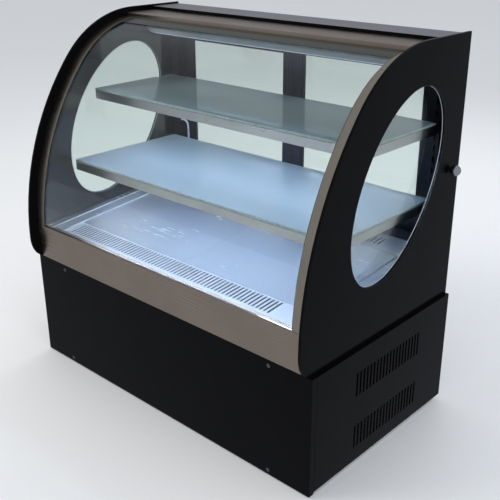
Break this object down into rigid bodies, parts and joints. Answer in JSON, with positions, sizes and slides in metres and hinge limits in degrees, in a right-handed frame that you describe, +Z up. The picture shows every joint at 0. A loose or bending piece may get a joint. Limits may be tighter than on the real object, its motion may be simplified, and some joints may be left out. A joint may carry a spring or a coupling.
{
  "type": "glass display showcase",
  "caption": "Countertop chilled cake showcase: curved front glass, oval side windows, two lit shelves, sliding rear doors and a machine base.",
  "frame": {"origin": "bottom centre of the bounding box, on the surface the feet stand on", "axes": "+X to the cabinet's right side seen from the front, -Y towards the customer, +Z up"},
  "size_m": [0.9316, 0.5306, 0.868],
  "materials": {
    "black_gloss_paint": "gloss powder coat over sheet steel",
    "black_frame_coat": "satin black coated aluminium",
    "brushed_stainless": "brushed, long horizontal grain",
    "mirror_stainless": "mirror polished stainless",
    "clear_glass": "clear toughened float glass",
    "white_liner": "white coated liner over foam",
    "lamp_cover": "opal LED cover",
    "black_rubber": "moulded",
    "black_plastic": "moulded ABS",
    "grey_plastic": "moulded ABS",
    "fin_aluminium": "mill finish fins",
    "zinc_steel": "zinc plated",
    "black_enamel": "semi-gloss enamel",
    "white_pvc": "PVC insulation"
  },
  "bodies": {
    "cabinet": {"base_pan": "zinc_steel", "base_side_left": "black_gloss_paint", "base_side_right": "black_gloss_paint", "compressor": "black_enamel", "condenser_coil": "fin_aluminium", "condenser_fan_shroud": "zinc_steel", "control_panel": "black_plastic", "cord_gland": "black_plastic", "deck_plate_left": "mirror_stainless", "deck_plate_right": "mirror_stainless", "evaporator_coil": "fin_aluminium", "evaporator_fan_housing": "grey_plastic", "foot_front_left": "black_rubber", "foot_front_right": "black_rubber", "foot_rear_left": "black_rubber", "foot_rear_right": "black_rubber", "front_bumper": "brushed_stainless", "front_glass": "clear_glass", "front_grille": "mirror_stainless", "front_panel": "black_gloss_paint", "front_screw_high_left": "zinc_steel", "front_screw_high_right": "zinc_steel", "front_screw_low_left": "zinc_steel", "front_screw_low_right": "zinc_steel", "glass_channel_left": "brushed_stainless", "glass_channel_right": "brushed_stainless", "insulated_tub": "white_liner", "lamp_lead": "white_pvc", "rear_frame": "black_frame_coat", "rear_grille": "mirror_stainless", "rear_panel": "black_frame_coat", "shelf_frame_lower": "brushed_stainless", "shelf_frame_upper": "brushed_stainless", "shelf_glass_lower": "clear_glass", "shelf_glass_upper": "clear_glass", "shelf_lamp_lower": "lamp_cover", "shelf_lamp_upper": "lamp_cover", "shelf_upright_left": "black_frame_coat", "shelf_upright_right": "black_frame_coat", "side_glass_left": "clear_glass", "side_glass_right": "clear_glass", "side_skin_left": "black_gloss_paint", "side_skin_right": "black_gloss_paint", "thermostat_body": "grey_plastic", "top_lamp": "brushed_stainless", "top_panel": "black_gloss_paint", "top_trim": "brushed_stainless"},
    "left_door": {"door_frame_left": "black_frame_coat", "door_glass_left": "clear_glass"},
    "right_door": {"door_frame_right": "black_frame_coat", "door_glass_right": "clear_glass"},
    "condenser_fan": {"condenser_fan_blade": "black_plastic"},
    "evaporator_fan": {"evaporator_fan_blade": "black_plastic"},
    "set_key": {"set_button": "black_rubber"},
    "up_key": {"up_button": "black_rubber"},
    "down_key": {"down_button": "black_rubber"},
    "lamp_rocker": {"lamp_switch": "black_plastic"},
    "power_rocker": {"power_switch": "black_plastic"},
    "left_knob": {"side_knob_left": "mirror_stainless"},
    "right_knob": {"side_knob_right": "mirror_stainless"}
  },
  "joints": [
    {"name": "left_door_slide", "type": "slide", "parent": "cabinet", "child": "left_door", "axis": [1, 0, 0], "range_m": [0, 0.353]},
    {"name": "right_door_slide", "type": "slide", "parent": "cabinet", "child": "right_door", "axis": [-1, 0, 0], "range_m": [0, 0.34]},
    {"name": "condenser_fan_spin", "type": "hinge", "parent": "cabinet", "child": "condenser_fan", "pos_m": [0.22425, -0.1114, 0.0858], "axis": [0, 1, 0], "continuous": true},
    {"name": "evaporator_fan_spin", "type": "hinge", "parent": "cabinet", "child": "evaporator_fan", "pos_m": [-0.1, 0.018, 0.2793], "axis": [0, 1, 0], "continuous": true},
    {"name": "set_key_press", "type": "slide", "parent": "cabinet", "child": "set_key", "axis": [0, -1, 0], "range_m": [0, 0.001], "stiffness_N_per_m": 300},
    {"name": "up_key_press", "type": "slide", "parent": "cabinet", "child": "up_key", "axis": [0, -1, 0], "range_m": [0, 0.001], "stiffness_N_per_m": 300},
    {"name": "down_key_press", "type": "slide", "parent": "cabinet", "child": "down_key", "axis": [0, -1, 0], "range_m": [0, 0.001], "stiffness_N_per_m": 300},
    {"name": "lamp_rocker_tilt", "type": "hinge", "parent": "cabinet", "child": "lamp_rocker", "pos_m": [-0.2365, 0.2591, 0.185], "axis": [-1, 0, 0], "range_deg": [0, 16]},
    {"name": "power_rocker_tilt", "type": "hinge", "parent": "cabinet", "child": "power_rocker", "pos_m": [-0.2025, 0.2591, 0.185], "axis": [-1, 0, 0], "range_deg": [0, 16]},
    {"name": "left_knob_turn", "type": "hinge", "parent": "cabinet", "child": "left_knob", "pos_m": [-0.44125, 0.2303, 0.5835], "axis": [-1, 0, 0], "range_deg": [-90, 90]},
    {"name": "right_knob_turn", "type": "hinge", "parent": "cabinet", "child": "right_knob", "pos_m": [0.44125, 0.2303, 0.5835], "axis": [1, 0, 0], "range_deg": [-90, 90]}
  ]
}
